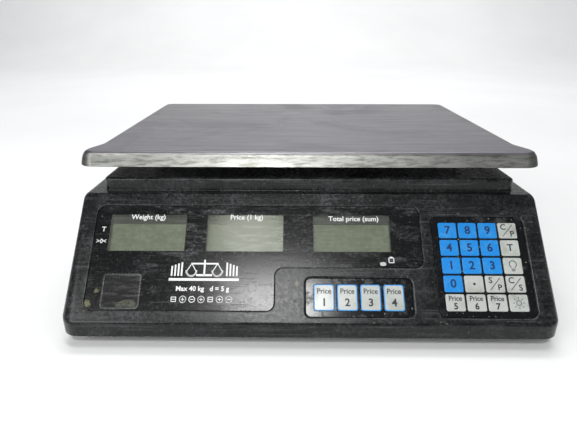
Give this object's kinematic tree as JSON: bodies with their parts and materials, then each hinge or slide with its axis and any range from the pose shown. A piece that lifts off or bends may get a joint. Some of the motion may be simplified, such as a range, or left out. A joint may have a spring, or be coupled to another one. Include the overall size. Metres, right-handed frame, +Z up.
{
  "type": "price computing bench scale",
  "caption": "Retail bench scale with a lift-off steel pan, sloping vendor panel with displays and keypads, and a customer display at the back.",
  "frame": {"origin": "middle of the footprint, on the surface the scale stands on", "axes": "+X to the vendor's right, +Y towards the customer side at the back, +Z up"},
  "size_m": [0.355, 0.34, 0.1245],
  "materials": {
    "steel_pan": "brushed sheet with fine scratches and a faint smudged film",
    "black_plastic": "satin black moulding, dusty and scuffed",
    "dark_plastic": "fine-grained black moulding",
    "gloss_film": "glossy black printed film",
    "grey_film": "semi-gloss dark grey film",
    "clear_window": "clear smoky plastic",
    "lcd_glass": "olive-grey display glass",
    "blue_key": "bright blue printed key pad",
    "white_key": "off-white printed key pad",
    "aluminium": "cast and machined, dull",
    "rubber": "matte black rubber",
    "steel_fastener": "zinc-plated",
    "circuit_board": "green solder mask",
    "battery_case": "grey moulded case",
    "transformer_core": "varnished laminations",
    "vial": "clear capsule of yellow-green fluid"
  },
  "bodies": {
    "base": {"upper_housing": "black_plastic", "base_chassis": "dark_plastic", "battery_cover": "dark_plastic", "display_overlay": "gloss_film", "rear_overlay": "gloss_film", "level_window": "clear_window", "keypad_film": "grey_film", "price_key_film": "grey_film", "lcd_weight": "lcd_glass", "lcd_price": "lcd_glass", "lcd_total": "lcd_glass", "rear_lcd": "lcd_glass", "front_display_board": "circuit_board", "rear_display_board": "circuit_board", "keypad_board": "circuit_board", "main_board": "circuit_board", "battery": "battery_case", "transformer": "transformer_core", "level_vial": "vial", "load_cell": "aluminium", "overload_stop": "steel_fastener", "mains_inlet": "dark_plastic", "power_switch_body": "dark_plastic"},
    "carrier": {"pan_carrier": "aluminium", "cup_front_left": "rubber", "cup_front_right": "rubber", "cup_rear_left": "rubber", "cup_rear_right": "rubber", "carrier_bolt_inner": "steel_fastener", "carrier_bolt_outer": "steel_fastener"},
    "pan": {"weighing_pan": "steel_pan"},
    "rocker": {"power_rocker": "dark_plastic"},
    "foot_front_left_body": {"foot_front_left": "rubber"},
    "foot_front_right_body": {"foot_front_right": "rubber"},
    "foot_rear_left_body": {"foot_rear_left": "rubber"},
    "foot_rear_right_body": {"foot_rear_right": "rubber"},
    "key_7_body": {"key_7": "blue_key"},
    "key_8_body": {"key_8": "blue_key"},
    "key_9_body": {"key_9": "blue_key"},
    "key_clear_price_body": {"key_clear_price": "white_key"},
    "key_4_body": {"key_4": "blue_key"},
    "key_5_body": {"key_5": "blue_key"},
    "key_6_body": {"key_6": "blue_key"},
    "key_zero_tare_body": {"key_zero_tare": "white_key"},
    "key_1_body": {"key_1": "blue_key"},
    "key_2_body": {"key_2": "blue_key"},
    "key_3_body": {"key_3": "blue_key"},
    "key_light_body": {"key_light": "white_key"},
    "key_0_body": {"key_0": "blue_key"},
    "key_point_body": {"key_point": "white_key"},
    "key_store_price_body": {"key_store_price": "white_key"},
    "key_clear_total_body": {"key_clear_total": "white_key"},
    "key_price_5_body": {"key_price_5": "white_key"},
    "key_price_6_body": {"key_price_6": "white_key"},
    "key_price_7_body": {"key_price_7": "white_key"},
    "key_brightness_body": {"key_brightness": "white_key"},
    "key_price_1_body": {"key_price_1": "white_key"},
    "key_price_2_body": {"key_price_2": "white_key"},
    "key_price_3_body": {"key_price_3": "white_key"},
    "key_price_4_body": {"key_price_4": "white_key"}
  },
  "joints": [
    {"name": "carrier_deflection", "type": "slide", "parent": "base", "child": "carrier", "axis": [0, 0, -1], "range_m": [0, 0.0005], "stiffness_N_per_m": 100000, "springref_m": -0.0004, "deforming": ["load_cell"]},
    {"name": "pan_lift", "type": "slide", "parent": "carrier", "child": "pan", "axis": [0, 0, 1], "range_m": [0, 0.06]},
    {"name": "power_rocker_tilt", "type": "hinge", "parent": "base", "child": "rocker", "pos_m": [0.1695, 0.02, 0.041], "axis": [0, -1, 0], "range_deg": [0, 20]},
    {"name": "foot_front_left_adjust", "type": "slide", "parent": "base", "child": "foot_front_left_body", "axis": [0, 0, -1], "range_m": [0, 0.006]},
    {"name": "foot_front_right_adjust", "type": "slide", "parent": "base", "child": "foot_front_right_body", "axis": [0, 0, -1], "range_m": [0, 0.006]},
    {"name": "foot_rear_left_adjust", "type": "slide", "parent": "base", "child": "foot_rear_left_body", "axis": [0, 0, -1], "range_m": [0, 0.006]},
    {"name": "foot_rear_right_adjust", "type": "slide", "parent": "base", "child": "foot_rear_right_body", "axis": [0, 0, -1], "range_m": [0, 0.006]},
    {"name": "key_7_press", "type": "slide", "parent": "base", "child": "key_7_body", "axis": [0, 0.7373, -0.6756], "range_m": [0, 0.0005], "stiffness_N_per_m": 2000, "springref_m": -0.0005},
    {"name": "key_8_press", "type": "slide", "parent": "base", "child": "key_8_body", "axis": [0, 0.7373, -0.6756], "range_m": [0, 0.0005], "stiffness_N_per_m": 2000, "springref_m": -0.0005},
    {"name": "key_9_press", "type": "slide", "parent": "base", "child": "key_9_body", "axis": [0, 0.7373, -0.6756], "range_m": [0, 0.0005], "stiffness_N_per_m": 2000, "springref_m": -0.0005},
    {"name": "key_clear_price_press", "type": "slide", "parent": "base", "child": "key_clear_price_body", "axis": [0, 0.7373, -0.6756], "range_m": [0, 0.0005], "stiffness_N_per_m": 2000, "springref_m": -0.0005},
    {"name": "key_4_press", "type": "slide", "parent": "base", "child": "key_4_body", "axis": [0, 0.7373, -0.6756], "range_m": [0, 0.0005], "stiffness_N_per_m": 2000, "springref_m": -0.0005},
    {"name": "key_5_press", "type": "slide", "parent": "base", "child": "key_5_body", "axis": [0, 0.7373, -0.6756], "range_m": [0, 0.0005], "stiffness_N_per_m": 2000, "springref_m": -0.0005},
    {"name": "key_6_press", "type": "slide", "parent": "base", "child": "key_6_body", "axis": [0, 0.7373, -0.6756], "range_m": [0, 0.0005], "stiffness_N_per_m": 2000, "springref_m": -0.0005},
    {"name": "key_zero_tare_press", "type": "slide", "parent": "base", "child": "key_zero_tare_body", "axis": [0, 0.7373, -0.6756], "range_m": [0, 0.0005], "stiffness_N_per_m": 2000, "springref_m": -0.0005},
    {"name": "key_1_press", "type": "slide", "parent": "base", "child": "key_1_body", "axis": [0, 0.7373, -0.6756], "range_m": [0, 0.0005], "stiffness_N_per_m": 2000, "springref_m": -0.0005},
    {"name": "key_2_press", "type": "slide", "parent": "base", "child": "key_2_body", "axis": [0, 0.7373, -0.6756], "range_m": [0, 0.0005], "stiffness_N_per_m": 2000, "springref_m": -0.0005},
    {"name": "key_3_press", "type": "slide", "parent": "base", "child": "key_3_body", "axis": [0, 0.7373, -0.6756], "range_m": [0, 0.0005], "stiffness_N_per_m": 2000, "springref_m": -0.0005},
    {"name": "key_light_press", "type": "slide", "parent": "base", "child": "key_light_body", "axis": [0, 0.7373, -0.6756], "range_m": [0, 0.0005], "stiffness_N_per_m": 2000, "springref_m": -0.0005},
    {"name": "key_0_press", "type": "slide", "parent": "base", "child": "key_0_body", "axis": [0, 0.7373, -0.6756], "range_m": [0, 0.0005], "stiffness_N_per_m": 2000, "springref_m": -0.0005},
    {"name": "key_point_press", "type": "slide", "parent": "base", "child": "key_point_body", "axis": [0, 0.7373, -0.6756], "range_m": [0, 0.0005], "stiffness_N_per_m": 2000, "springref_m": -0.0005},
    {"name": "key_store_price_press", "type": "slide", "parent": "base", "child": "key_store_price_body", "axis": [0, 0.7373, -0.6756], "range_m": [0, 0.0005], "stiffness_N_per_m": 2000, "springref_m": -0.0005},
    {"name": "key_clear_total_press", "type": "slide", "parent": "base", "child": "key_clear_total_body", "axis": [0, 0.7373, -0.6756], "range_m": [0, 0.0005], "stiffness_N_per_m": 2000, "springref_m": -0.0005},
    {"name": "key_price_5_press", "type": "slide", "parent": "base", "child": "key_price_5_body", "axis": [0, 0.7373, -0.6756], "range_m": [0, 0.0005], "stiffness_N_per_m": 2000, "springref_m": -0.0005},
    {"name": "key_price_6_press", "type": "slide", "parent": "base", "child": "key_price_6_body", "axis": [0, 0.7373, -0.6756], "range_m": [0, 0.0005], "stiffness_N_per_m": 2000, "springref_m": -0.0005},
    {"name": "key_price_7_press", "type": "slide", "parent": "base", "child": "key_price_7_body", "axis": [0, 0.7373, -0.6756], "range_m": [0, 0.0005], "stiffness_N_per_m": 2000, "springref_m": -0.0005},
    {"name": "key_brightness_press", "type": "slide", "parent": "base", "child": "key_brightness_body", "axis": [0, 0.7373, -0.6756], "range_m": [0, 0.0005], "stiffness_N_per_m": 2000, "springref_m": -0.0005},
    {"name": "key_price_1_press", "type": "slide", "parent": "base", "child": "key_price_1_body", "axis": [0, 0.7373, -0.6756], "range_m": [0, 0.0005], "stiffness_N_per_m": 2000, "springref_m": -0.0005},
    {"name": "key_price_2_press", "type": "slide", "parent": "base", "child": "key_price_2_body", "axis": [0, 0.7373, -0.6756], "range_m": [0, 0.0005], "stiffness_N_per_m": 2000, "springref_m": -0.0005},
    {"name": "key_price_3_press", "type": "slide", "parent": "base", "child": "key_price_3_body", "axis": [0, 0.7373, -0.6756], "range_m": [0, 0.0005], "stiffness_N_per_m": 2000, "springref_m": -0.0005},
    {"name": "key_price_4_press", "type": "slide", "parent": "base", "child": "key_price_4_body", "axis": [0, 0.7373, -0.6756], "range_m": [0, 0.0005], "stiffness_N_per_m": 2000, "springref_m": -0.0005}
  ]
}
